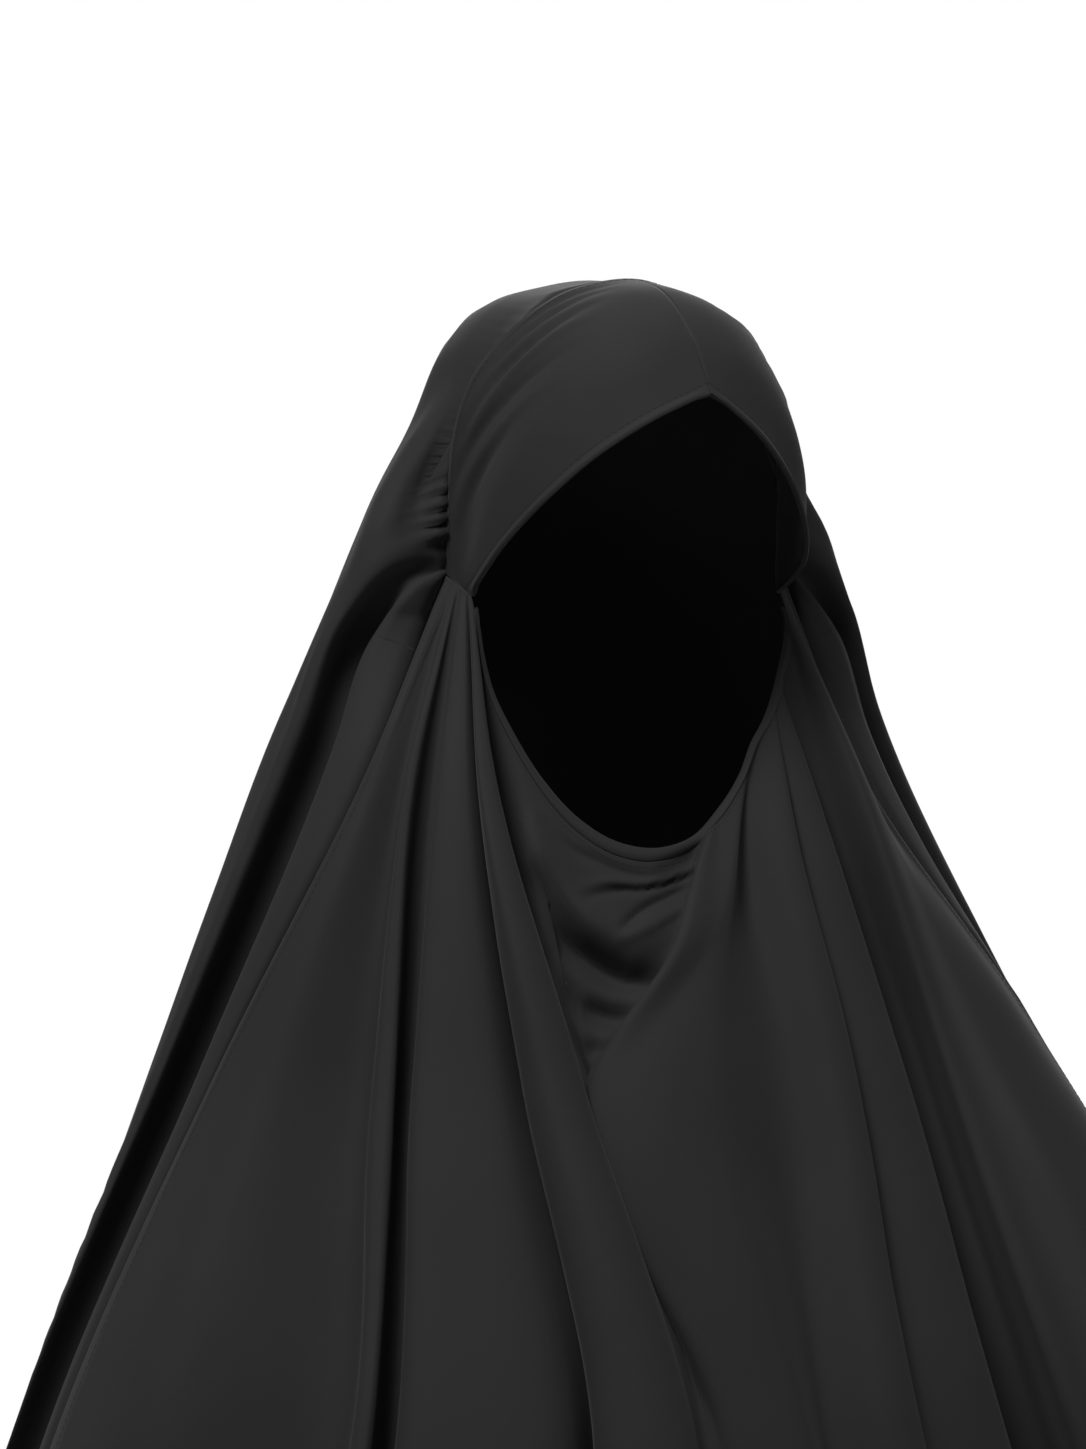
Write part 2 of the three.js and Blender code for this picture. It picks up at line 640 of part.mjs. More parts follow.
const front = frontFolds();
const frontFace = panelFace(front, chinEdge);
const veil = new THREE.Group();
veil.add(bandHalf("band_right", FACE_EDGE_RIGHT, 0, crepe));
veil.add(bandHalf("band_left", FACE_EDGE_LEFT, 1, crepe));
veil.add(backPanel(crepe));
veil.add(frontPanel(front, frontFace, crepe));
veil.add(chinBinding(front, frontFace, crepe));

export default veil;
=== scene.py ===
# A khimar veil of matte black crepe in worn form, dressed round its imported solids: a forehead band
# in two halves, a hood and back panel, a front panel with a cowl and deep folds, and a chin binding.
import math

import bpy
import numpy as np
from mathutils import Matrix, Vector, noise


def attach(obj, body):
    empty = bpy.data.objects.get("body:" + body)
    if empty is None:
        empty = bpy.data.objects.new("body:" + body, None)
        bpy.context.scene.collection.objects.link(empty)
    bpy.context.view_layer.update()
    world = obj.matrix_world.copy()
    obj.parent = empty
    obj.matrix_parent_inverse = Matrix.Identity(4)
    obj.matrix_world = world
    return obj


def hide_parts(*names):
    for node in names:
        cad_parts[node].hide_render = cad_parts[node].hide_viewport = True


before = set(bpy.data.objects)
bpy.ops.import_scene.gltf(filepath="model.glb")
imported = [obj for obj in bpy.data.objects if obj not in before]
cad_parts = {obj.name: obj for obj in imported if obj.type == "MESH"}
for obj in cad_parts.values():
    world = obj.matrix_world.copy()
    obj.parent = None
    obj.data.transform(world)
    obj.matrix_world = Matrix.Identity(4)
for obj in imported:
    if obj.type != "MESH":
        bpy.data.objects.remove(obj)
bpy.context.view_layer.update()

# Sizes of the head that the veil is cut for, in metres
HEAD_HALF_WIDTH = 0.074
HEAD_HALF_DEPTH = 0.090
HEAD_HEIGHT = 0.244
HEAD_SQUARENESS = 2.15

# Sizes of the veil, from the crown down and from the crown's vertical out
VEIL_LENGTH = 0.970
HEM_HALF_WIDTH = 0.385
HEM_FRONT = 0.250
HEM_BACK = 0.230

# Cloth, binding and hem, the clearance between sewn borders, and the band's ease over the head
CLOTH = 0.0009
BAND_CLOTH = 0.0020
BINDING_CLOTH = 0.0018
BINDING_WIDTH = 0.0065
HEM_WIDTH = 0.012
SEWN_GAP = 0.00004
BAND_EASE = 0.0025

# Heights are levels: 0 at the crown, 1 at the chin and 2 at the hem
CHEST = 1.14
BREAST = 1.33
LAP = 1.66
HEM = 2


def table(names, rows):
    """Rows of values with named columns."""
    columns = names.split()
    return [dict(zip(columns, row)) for row in rows]


def column(rows, name):
    return np.array([row[name] for row in rows], float)


# The body of the veil without its folds, an ellipse at each level.
# width: share of the way from the head's half width to the hem's.
# front, back: share of the way from the head's half depth to the hem's reach.
# centre, across: middle of the ellipse behind and beside the crown, in half depths and widths.
BODY = table("level width front back centre across", [
    [0.00, -0.07, -0.40, -0.06, 0.33, 0.00],
    [0.08, -0.008, -0.30, 0.03, 0.38, 0.00],
    [0.20, 0.007, -0.25, 0.12, 0.38, -0.025],
    [0.33, 0.072, -0.20, 0.16, 0.42, -0.065],
    [0.50, 0.125, -0.19, 0.19, 0.47, -0.08],
    [0.78, 0.205, -0.22, 0.23, 0.50, -0.08],
    [1.00, 0.243, -0.20, 0.27, 0.45, -0.24],
    [1.14, 0.428, 0.14, 0.357, 0.30, -0.01],
    [1.23, 0.533, 0.375, 0.42, 0.10, 0.04],
    [1.33, 0.648, 0.54, 0.486, -0.10, 0.09],
    [1.60, 0.86, 0.80, 0.70, -0.20, 0.10],
    [2.00, 1.00, 1.00, 1.00, -0.25, 0.10],
])

# Seam between band and hood, from the wearer's right temple over the crown to the left.
# All edges are in half widths across, half depths forward and head heights down.
ARCH = table("across forward down", [
    [-1.11, -0.24, 0.537],
    [-1.11, -0.21, 0.45],
    [-1.105, -0.20, 0.36],
    [-1.09, -0.18, 0.29],
    [-1.06, -0.15, 0.235],
    [-1.00, -0.12, 0.18],
    [-0.90, -0.08, 0.13],
    [-0.77, -0.03, 0.085],
    [-0.60, 0.01, 0.042],
    [-0.45, 0.04, 0.016],
    [-0.30, 0.07, 0.002],
    [0.00, 0.09, -0.006],
    [0.26, 0.07, 0.018],
    [0.41, 0.04, 0.036],
    [0.56, 0.01, 0.062],
    [0.73, -0.03, 0.098],
    [0.86, -0.08, 0.133],
    [0.965, -0.12, 0.182],
    [1.035, -0.15, 0.235],
    [1.075, -0.18, 0.29],
    [1.10, -0.20, 0.36],
    [1.11, -0.21, 0.45],
    [1.11, -0.24, 0.537],
])

# Edge of the band over the face, from each temple to the point over the forehead
FACE_EDGE_RIGHT = table("across forward down", [
    [-1.01, -0.07, 0.578],
    [-0.98, 0.31, 0.485],
    [-0.80, 0.62, 0.388],
    [-0.56, 0.79, 0.312],
    [-0.28, 0.88, 0.255],
    [0.087, 0.87, 0.205],
])
FACE_EDGE_LEFT = table("across forward down", [
    [1.02, -0.07, 0.578],
    [0.94, 0.415, 0.50],
    [0.685, 0.734, 0.378],
    [0.374, 0.863, 0.275],
    [0.087, 0.87, 0.205],
])

# Lower edge of the face opening, from the wearer's right temple under the chin to the left
CHIN_EDGE = table("across forward down", [
    [-1.11, -0.24, 0.537],
    [-1.01, -0.07, 0.578],
    [-1.005, 0.03, 0.655],
    [-0.965, 0.13, 0.748],
    [-0.88, 0.22, 0.818],
    [-0.735, 0.33, 0.903],
    [-0.555, 0.43, 0.971],
    [-0.34, 0.51, 1.014],
    [-0.11, 0.555, 1.027],
    [0.12, 0.545, 1.012],
    [0.34, 0.49, 0.96],
    [0.525, 0.40, 0.902],
    [0.645, 0.32, 0.846],
    [0.755, 0.255, 0.808],
    [0.915, 0.13, 0.725],
    [1.02, 0.02, 0.635],
    [1.02, -0.07, 0.578],
    [1.11, -0.24, 0.537],
])
# The share of the chin edge at each end that is sewn to the band, where the gathers fall from
GATHERED = 0.055
# The share over which the panel gives way to the binding beside the gathers
BINDING_RISE = 0.015
# How soon the band leaves its sewn temple end for the head's surface
TEMPLE_HOLD = 5

# Folds of the front panel, each a line of cloth from the panel's top edge to the hem.
# along: its start on the chin edge, 0 at the wearer's right temple and 1 at the left.
# turn and out: degrees round the body from the front towards the wearer's left, and share of
# the body's ellipse, at three heights: the neck (n), the chest (c) and the breast (b).
FRONT_FOLDS = table("along nTurn nOut cTurn cOut bTurn bOut", [
    [0.000, -56, 1.00, -74, 1.00, -87, 1.00],
    [0.006, -53, 1.02, -62, 1.03, -66, 1.03],
    [0.014, -49, 0.965, -48, 0.93, -44.5, 0.925],
    [0.020, -46.5, 1.01, -44.5, 1.00, -41, 1.00],
    [0.025, -45.5, 1.00, -42, 1.00, -40, 1.00],
    [0.027, -47, 0.93, -44, 0.92, -42, 0.92],
    [0.030, -45, 0.89, -43.5, 0.88, -41.5, 0.87],
    [0.033, -41.5, 0.98, -39.5, 0.99, -37.5, 0.98],
    [0.037, -38.5, 1.00, -34, 1.01, -30.5, 1.01],
    [0.041, -35.5, 0.99, -28, 0.985, -21.5, 0.99],
    [0.045, -36.5, 0.85, -27.5, 0.80, -20, 0.81],
    [0.048, -34.5, 0.97, -25, 0.985, -18.5, 0.99],
    [0.052, -32.5, 1.03, -21.5, 1.05, -14.5, 1.05],
    [0.057, -30, 1.01, -17.6, 1.01, -9.6, 1.01],
    [0.065, -32.5, 0.90, -18.0, 0.92, -9.4, 0.97],
    [0.15, -32, 0.80, -18.0, 0.85, -9.0, 0.955],
    [0.27, -21, 0.87, -17.9, 0.80, -8.6, 0.95],
    [0.39, -14, 0.86, -17.7, 0.785, -8.2, 0.95],
    [0.49, -7, 0.86, -17.5, 0.80, -7.8, 0.955],
    [0.565, 1.5, 0.92, -17.4, 0.86, -7.4, 0.96],
    [0.575, -1, 1.07, -17.0, 0.94, -6.8, 0.975],
    [0.60, 6.5, 1.045, -12, 1.00, -3.5, 1.00],
    [0.66, 14.5, 1.02, -2, 1.01, 0.5, 1.00],
    [0.735, 24, 0.96, 11, 0.91, 4, 0.915],
    [0.77, 27, 1.08, 16, 1.01, 9, 1.01],
    [0.785, 29, 1.10, 18.5, 1.00, 12, 1.00],
    [0.79, 31, 1.05, 19.5, 0.96, 13, 0.96],
    [0.80, 33, 1.09, 23, 0.98, 17, 0.98],
    [0.815, 35.5, 1.11, 27, 0.98, 21.5, 0.98],
    [0.825, 41, 0.97, 34, 0.80, 28, 0.80],
    [0.87, 42, 1.05, 38, 0.87, 31.5, 0.87],
    [0.948, 41.5, 1.11, 33.5, 1.01, 27.5, 1.02],
    [0.965, 45.5, 1.07, 47, 0.985, 47, 0.975],
    [0.985, 47.5, 1.01, 62, 1.01, 66, 1.02],
    [1.000, 50, 1.00, 75, 1.00, 88, 1.00],
])

# Folds of the hood and back panel on the wearer's right; the left mirrors them.
# along: its start on the arch, 0 at the temple and 0.5 at the crown.
# turn and out: degrees round the body from the front, and share of the body's ellipse,
# behind the seam (s), on the head (h), at the neck (n), the chest (c) and the breast (b).
BACK_FOLDS = table("along sTurn sOut hTurn hOut nTurn nOut cTurn cOut bTurn bOut", [
    [0.004, 70, 0.84, 73, 0.93, 67, 1.01, 78, 1.00, 91, 1.00],
    [0.008, 74, 0.83, 82, 0.84, 79, 0.83, 91, 0.86, 101, 0.91],
    [0.016, 76, 0.86, 84, 0.91, 84, 0.91, 95, 0.94, 105, 0.99],
    [0.030, 74, 0.94, 80, 1.02, 80, 1.03, 90, 1.02, 102, 1.04],
    [0.07, 78, 1.00, 84, 1.03, 90, 1.05, 99, 1.04, 109, 1.04],
    [0.13, 84, 1.00, 92, 1.01, 102, 1.02, 109, 1.01, 118, 1.00],
    [0.19, 90, 1.00, 100, 1.00, 115, 1.00, 121, 0.97, 129, 0.96],
    [0.25, 98, 1.03, 110, 1.00, 128, 1.00, 134, 1.02, 141, 1.04],
    [0.32, 112, 1.05, 127, 1.00, 142, 0.99, 147, 0.96, 153, 0.94],
    [0.39, 132, 1.05, 146, 1.00, 157, 1.00, 161, 1.02, 166, 1.03],
    [0.445, 155, 1.03, 165, 1.00, 169, 0.995, 171, 0.985, 174, 0.97],
])
BACK_CENTRE = {"along": 0.5, "cOut": 1.02, "bOut": 1.03}

# Soft lines across the folds: the cowl's swags under the chin, and the fold round the hood
# behind its seam. Each runs through three places, a column counted in folds and a row counted
# in heights. depth is how far it stands out, and width how wide, in half widths of the head.
COWL_SWAGS = table("fromColumn fromRow midColumn midRow toColumn toRow depth width", [
    [15.8, 2.80, 17.2, 2.68, 19.2, 2.72, 0.05, 0.13],
    [15.8, 3.18, 17.2, 3.10, 19.7, 3.34, -0.14, 0.09],
    [15.9, 3.44, 17.0, 3.34, 18.6, 3.32, -0.05, 0.12],
    [16.2, 3.56, 17.9, 3.48, 19.8, 3.50, -0.10, 0.08],
])
HOOD_FOLDS = table("fromColumn fromRow midColumn midRow toColumn toRow depth width", [
    [13.2, 0.12, 15.5, 0.25, 17.6, 0.32, 0.03, 0.08],
    [13.2, 0.26, 16.6, 0.33, 19.6, 0.66, -0.12, 0.10],
    [10.8, 0.12, 8.5, 0.25, 6.4, 0.32, 0.03, 0.08],
    [10.8, 0.26, 7.4, 0.33, 4.4, 0.66, -0.12, 0.10],
])
# Finer lines that only the dressed cloth has: creases under the chin, and on the back panel on
# the wearer's right the creases of its outer roll, of the hood behind its seam and of the gather
COWL_CREASES = table("fromColumn fromRow midColumn midRow toColumn toRow depth width", [
    [16.2, 2.15, 17.2, 1.58, 18.6, 1.62, -0.022, 0.035],
    [16.9, 2.38, 17.7, 1.82, 20.2, 2.02, 0.020, 0.032],
    [16.9, 2.53, 17.7, 1.98, 20.2, 2.14, -0.034, 0.028],
    [17.7, 2.66, 17.9, 2.38, 20.2, 2.28, -0.036, 0.028],
    [17.6, 2.82, 18.2, 2.52, 20.1, 2.44, 0.024, 0.036],
    [16.9, 3.88, 18.6, 3.74, 20.2, 3.72, -0.040, 0.060],
])
BACK_CREASES = table("fromColumn fromRow midColumn midRow toColumn toRow depth width", [
    [19.2, 2.10, 19.7, 3.05, 19.6, 3.95, 0.022, 0.045],
    [19.7, 3.40, 19.5, 4.40, 19.5, 5.60, 0.016, 0.050],
    [13.7, 0.16, 16.2, 0.22, 19.6, 0.46, -0.110, 0.045],
    [15.2, 0.40, 17.2, 0.52, 19.4, 0.84, 0.040, 0.080],
    [15.2, 0.62, 17.0, 0.72, 18.8, 1.05, -0.022, 0.070],
    [23.15, 1.35, 23.4, 1.62, 23.6, 1.95, -0.014, 0.028],
    [23.5, 1.30, 23.7, 1.60, 23.85, 1.95, -0.012, 0.026],
])
# The same for a half of the band: its columns run from the temple, 0, to the centre seam, 1,
# and its rows from the hood's seam, 0, to the face, 3
BAND_CREASES = table("fromColumn fromRow midColumn midRow toColumn toRow depth width", [
    [0.88, 0.92, 0.62, 0.56, 0.32, 0.20, -0.026, 0.034],
    [0.84, 1.15, 0.60, 0.72, 0.26, 0.34, 0.020, 0.034],
    [0.76, 1.45, 0.48, 0.78, 0.16, 0.06, -0.030, 0.036],
    [0.70, 1.70, 0.42, 1.00, 0.14, 0.34, 0.020, 0.045],
    [0.92, 0.62, 0.68, 0.32, 0.42, 0.10, -0.020, 0.028],
    [0.96, 0.40, 0.74, 0.16, 0.55, 0.04, -0.014, 0.026],
    [0.52, 1.45, 0.34, 1.02, 0.10, 0.55, -0.018, 0.050],
])
# Steps along each swag or crease
SWAG_STEPS = 48

# Relief of the dressed cloth: puckers along the gathers, the turned hem, the felled side seams,
# the rolled edge of the band, and the cloth's own unevenness, coarse and fine
PUCKER_PITCH = 0.0078
PUCKER_DEPTH = 0.0021
PUCKER_REACH = 0.009
HEM_PROUD = 0.0006
FELL_WIDTH = 0.007
FELL_PROUD = 0.0006
SEAM_DIP = 0.0012
SEAM_REACH = 0.0013
ROLL_WIDTH = 0.0035
ROLL_PROUD = 0.0011
COARSE_WAVE = {"across": 0.11, "down": 0.34, "depth": 0.0030, "seed": 3}
FINE_WAVE = {"across": 0.030, "down": 0.16, "depth": 0.0007, "seed": 11}
BAND_WAVE = {"across": 0.024, "down": 0.024, "depth": 0.0005, "seed": 23}
# How uneven the puckers are, how far that shifts their turns, and their least height
PUCKER_WAVE = {"across": 0.02, "down": 0.02, "depth": 1.6, "seed": 5}
PUCKER_SHIFT = 4
PUCKER_LEAST = 0.7
# The share of the arch at each end that is puckered, and the shares of that over which the
# puckers rise at the temple and fade towards the crown
PUCKERED = 0.135
PUCKER_RISE = 0.012
PUCKER_FADE = 0.1
# Where the unevenness begins and is full, in from a panel's borders, and full in from a band's
WAVE_FROM = 0.002
WAVE_FULL = 0.05
BAND_WAVE_FULL = 0.015
# The shares of their widths at which the fell and the hem begin to fall to the single cloth
FELL_SHOULDER = 0.9
HEM_SHOULDER = 0.95
# How far in from a band's ends its rolled edge is full, and how far below the chin edge the
# front panel's rows are drawn together to make room for the binding
ROLL_RISE = 0.01
SQUEEZED = 0.03

# Stitches, and where their rows run beside the seams
STITCH = {"long": 0.0022, "pitch": 0.0034, "wide": 0.00042, "high": 0.00026}
BESIDE_SEAM = 0.0024
BESIDE_HEM = 0.0112
BESIDE_EDGE = 0.0058
BESIDE_FELL = FELL_WIDTH * 0.8
# The bartack across the top of each side seam, on the back panel on the wearer's right; the left
# mirrors it
BARTACK = {
    "fromColumn": 23.15,
    "fromRow": 1.93,
    "toColumn": 23.95,
    "toRow": 2.07,
    "pitch": 0.0015,
}
BARTACK_STEPS = 8

# Heights between a fold's start and the chest: behind the seam, on the head and at the neck
SEAM_ROW = 0.04
HEAD_ROW = 0.2
NECK_ROW = 0.5
# How much of a fold is left at the lap and the hem, and how far folds spread evenly there
LAP_FOLD = 0.8
HEM_FOLD = 0.7
HEM_SPREAD = 0.4

# Rows of cells between the folds' heights, how far the last rows lie from the hem, and the
# widths of cells at the chest and top edge
ROWS = [6, 14, 18, 22, 28, 30, 26]
HEM_ROWS = [0.015, 0.0132, 0.0124, 0.0116, 0.0108, 0.006, 0.001, 0]
CHEST_ROW = 4
CHEST_CELL = 0.0045
TOP_CELL = 0.0021
LEAST_CELLS = 3
# Cells of a band's half, with close rows from BAND_EDGE to BAND_FACE, and of the binding
BAND_COLUMNS = 110
BAND_ROWS = 40
BAND_EDGE_ROWS = 14
BAND_EDGE = 2.75
BAND_FACE = 3
BINDING_ROWS = 8
# Steps between the points of an edge, and the least length that a direction is divided by
EDGE_STEPS = 20
TINY = 1e-9

# How the crepe takes light, and its two blacks
CREPE_LIGHT = {
    "Roughness": 0.82,
    "Specular IOR Level": 0.16,
    "Sheen Weight": 0.04,
    "Sheen Roughness": 0.45,
    "Sheen Tint": (0.78, 0.78, 0.80, 1),
}
DEEP_BLACK = (0.0085, 0.0085, 0.0090, 1)
WORN_BLACK = (0.0115, 0.0115, 0.0120, 1)
# The crepe's grain, its upright ribs and the slow change between its blacks, as noise
GRAIN = {"Scale": 2600, "Detail": 2}
RIB = {"Scale": 900, "Detail": 1}
RIB_STRETCH = {"Scale": (1, 1, 0.18)}
WEAR = {"Scale": 14, "Detail": 3}
GRAIN_SHARE = 0.6
CREPE_RELIEF = {"Strength": 0.35, "Distance": 0.00012}

# The camera at the photograph's angle in degrees. The crown lies right of and above the middle
# of the picture, counted in its pixels, each as wide as PIXEL at the crown.
AZIMUTH = -20
ELEVATION = 4
CAMERA_DISTANCE = 1.9
PIXEL = 0.00045
PICTURE_HEIGHT = 1449
CROWN_RIGHT = 90
CROWN_UP = 441.5
SENSOR_WIDTH = 36
NEAREST = 0.05
FARTHEST = 50

# The studio: a floor at the wearer's feet, softboxes turned to one place, and glows round the
# veil, one behind it and one above, that rise from least to most as a view turns toward them
FLOOR_BELOW_CROWN = 1.66
FLOOR_HALF = 3
FLOOR_LIGHT = {"Base Color": (0.86, 0.86, 0.86, 1), "Roughness": 0.9}
LIT_PLACE = (0, 0, -0.3)
SOFTBOXES = table("place size power", [
    [(-1.25, -0.95, 2.2), 0.9, 125],
    [(1.5, -1.9, 1.2), 1.6, 12],
    [(0.75, 2.05, 1.3), 1.6, 45],
])
GLOWS = table("toward low high least most", [
    [(0.341, 0.937, -0.07), 0.88, 0.965, 0.09, 1.0],
    [(0, 0, 1), 0.2, 0.95, 0.0, 0.55],
])


def mix(a, b, share):
    return a + (b - a) * share


def smoothstep(low, high, x):
    t = np.clip((x - low) / (high - low), 0, 1)
    return t * t * (3 - 2 * t)


def cubic(a, p, b, q, t):
    """The cubic that leaves a with slope p and reaches b with slope q, at a share t of the way."""
    s = 1 - t
    return s * s * (1 + 2 * t) * a + s * s * t * p + t * t * (3 - 2 * t) * b - t * t * s * q


def body_column(name, level):
    """A column of the body's table as a smooth function of the level."""
    levels = column(BODY, "level")
    values = column(BODY, name)
    span = np.diff(levels)
    slope = np.diff(values) / span
    tangent = np.concatenate([
        slope[:1],
        (slope[:-1] * span[1:] + slope[1:] * span[:-1]) / (span[:-1] + span[1:]),
        slope[-1:],
    ])
    i = np.clip(np.searchsorted(levels, level) - 1, 0, len(span) - 1)
    share = np.clip((level - levels[i]) / span[i], 0, 1)
    return cubic(values[i], span[i] * tangent[i], values[i + 1], span[i] * tangent[i + 1], share)


def height_of(level):
    return np.where(level <= 1, -level * HEAD_HEIGHT, -mix(HEAD_HEIGHT, VEIL_LENGTH, level - 1))


def level_of(z):
    below = 1 + (-z - HEAD_HEIGHT) / (VEIL_LENGTH - HEAD_HEIGHT)
    return np.where(-z <= HEAD_HEIGHT, -z / HEAD_HEIGHT, below)


def body_point(level, turn, out):
    """Points of the veil's body: turn in degrees from the front, out as a share of the ellipse."""
    level = np.broadcast_to(np.asarray(level, float), np.shape(turn))
    width = mix(HEAD_HALF_WIDTH, HEM_HALF_WIDTH, body_column("width", level))
    front = mix(HEAD_HALF_DEPTH, HEM_FRONT, body_column("front", level))
    back = mix(HEAD_HALF_DEPTH, HEM_BACK, body_column("back", level))
    x = body_column("across", level) * HEAD_HALF_WIDTH
    y = body_column("centre", level) * HEAD_HALF_DEPTH
    angle = np.radians(turn)
    forward = np.cos(angle)
    depth = np.where(forward > 0, front + y, back - y)
    return np.stack([x + out * width * np.sin(angle), y - out * depth * forward, height_of(level)], -1)


def head_point(target):
    """Points of the head's surface, let out by the band's ease, on the way from its middle."""
    middle = np.array([0, 0, -HEAD_HEIGHT / 2])
    half = np.array([HEAD_HALF_WIDTH, HEAD_HALF_DEPTH, HEAD_HEIGHT / 2]) + BAND_EASE
    way = target - middle
    total = (np.abs(way / half) ** HEAD_SQUARENESS).sum(-1, keepdims=True)
    return middle + way * total ** (-1 / HEAD_SQUARENESS)


def way_out(points):
    """The way out of the veil at points, which both pieces at a seam share."""
    middle = np.zeros_like(points)
    middle[..., 1] = body_column("centre", np.array(NECK_ROW)) * HEAD_HALF_DEPTH
    middle[..., 2] = np.minimum(points[..., 2], -HEAD_HEIGHT / 2)
    way = points - middle
    return way / np.linalg.norm(way, axis=-1, keepdims=True)


def unit(vectors):
    return vectors / np.maximum(np.linalg.norm(vectors, axis=-1, keepdims=True), TINY)


def through_points(points, places):
    """Smooth lines through points along the first axis, at places counted in points. Tangents
    follow the shorter neighbour, so a tight fold beside a wide one doesn't overshoot."""
    step = np.diff(points, axis=0)
    long = np.maximum(np.linalg.norm(step, axis=-1, keepdims=True), TINY)
    way = step / long
    tangent = np.concatenate([
        way[:1],
        (way[:-1] * long[1:] + way[1:] * long[:-1]) / (long[:-1] + long[1:]),
        way[-1:],
    ])
    places = np.asarray(places, float)
    i = np.clip(np.floor(places).astype(int), 0, len(points) - 2)
    share = (places - i).reshape((-1,) + (1,) * (points.ndim - 1))
    return cubic(points[i], long[i] * tangent[i], points[i + 1], long[i] * tangent[i + 1], share)


def edge_curve(rows):
    """An edge in head shares as a function of the share of its length."""
    points = np.stack([
        column(rows, "across") * HEAD_HALF_WIDTH,
        -column(rows, "forward") * HEAD_HALF_DEPTH,
        -column(rows, "down") * HEAD_HEIGHT,
    ], -1)
    fine = through_points(points, np.linspace(0, len(points) - 1, EDGE_STEPS * (len(points) - 1) + 1))
    run = np.concatenate([[0], np.cumsum(np.linalg.norm(np.diff(fine, axis=0), axis=1))])
    return lambda share: np.stack(
        [np.interp(np.clip(share, 0, 1) * run[-1], run, fine[:, axis]) for axis in range(3)], -1)


arch = edge_curve(ARCH)
chin_edge = edge_curve(CHIN_EDGE)


def lower_folds(folds):
    """The folds from the chest to the hem, where they spread evenly."""
    b_turn, b_out = column(folds, "bTurn"), column(folds, "bOut")
    hem_turn = mix(b_turn, np.linspace(b_turn[0], b_turn[-1], len(folds)), HEM_SPREAD)
    return [
        body_point(CHEST, column(folds, "cTurn"), column(folds, "cOut")),
        body_point(BREAST, b_turn, b_out),
        body_point(LAP, mix(b_turn, hem_turn, 0.5), mix(1, b_out, LAP_FOLD)),
        body_point(HEM, hem_turn, mix(1, b_out, HEM_FOLD)),
    ]


def neck_points(start, folds):
    level = mix(level_of(start[:, 2]), CHEST, NECK_ROW)
    return body_point(level, column(folds, "nTurn"), column(folds, "nOut"))


def straight_upper(start, folds):
    """The upper part of folds that fall straight from their start to the neck."""
    neck = neck_points(start, folds)
    return [start, mix(start, neck, SEAM_ROW / NECK_ROW), mix(start, neck, HEAD_ROW / NECK_ROW), neck]


def hood_upper(start, folds):
    """The upper part of folds of the hood, which go over the head first."""
    level = level_of(start[:, 2])
    return [
        start,
        body_point(mix(level, CHEST, SEAM_ROW), column(folds, "sTurn"), column(folds, "sOut")),
        body_point(mix(level, CHEST, HEAD_ROW), column(folds, "hTurn"), column(folds, "hOut")),
        neck_points(start, folds),
    ]


TURNS = ["sTurn", "hTurn", "nTurn", "cTurn", "bTurn"]


def back_folds():
    """The back panel's folds from the wearer's left side seam round the back to the right one."""
    left = [{**fold, "along": 1 - fold["along"]} for fold in BACK_FOLDS]
    right = [{**fold, **{name: 360 - fold[name] for name in TURNS}} for fold in BACK_FOLDS]
    centre = {**BACK_CENTRE, "sOut": 1, "hOut": 1, "nOut": 1, **{name: 180 for name in TURNS}}
    seam = {"sTurn": 0, "sOut": 1, "hTurn": 0, "hOut": 1}
    left_seam = {**seam, **FRONT_FOLDS[-1], "along": 1}
    right_seam = {**seam, **FRONT_FOLDS[0], "along": 0}
    for name in ["nTurn", "cTurn", "bTurn"]:
        right_seam[name] += 360
    return [left_seam, *left, centre, *right[::-1], right_seam]


def panel_lines(folds, edge, is_hood):
    """The points of a panel's folds, by height and fold."""
    start = edge(column(folds, "along"))
    upper = np.stack(straight_upper(start, folds))
    if is_hood:
        inner = np.stack(hood_upper(start, folds))
        upper[:, 1:-1] = inner[:, 1:-1]
    return np.concatenate([upper, np.stack(lower_folds(folds))])


def column_places(lines):
    """The places of the columns, counted in folds, with more of them where folds lie far apart."""
    apart = np.linalg.norm(np.diff(lines, axis=1), axis=-1)
    cells = np.maximum(apart[0] / TOP_CELL, apart[CHEST_ROW] / CHEST_CELL)
    counts = np.maximum(np.ceil(cells).astype(int), LEAST_CELLS)
    places = [i + j / count for i, count in enumerate(counts) for j in range(count)]
    return np.array([*places, len(counts)])


def row_places(lines):
    """The places of the rows, counted in heights, with close ones at the turned hem."""
    places = [i + j / count for i, count in enumerate(ROWS) for j in range(count)]
    last = np.linalg.norm(lines[-1] - lines[-2], axis=-1).mean()
    hem = [len(ROWS) - distance / last for distance in HEM_ROWS]
    return np.array([place for place in places if place < hem[0]] + hem)


def panel_face(lines, folds, edge, columns, rows):
    """A panel's outer face, with its first row on the edge."""
    grid = through_points(through_points(lines, rows).transpose(1, 0, 2), columns)
    along = np.interp(columns, np.arange(len(folds)), column(folds, "along"))
    pull = edge(along) - through_points(lines[0], columns)
    return grid + pull[:, None] * (np.clip(1 - rows, 0, 1) ** 2)[None, :, None], along


def normals(grid):
    return unit(np.cross(np.gradient(grid, axis=1), np.gradient(grid, axis=0)))


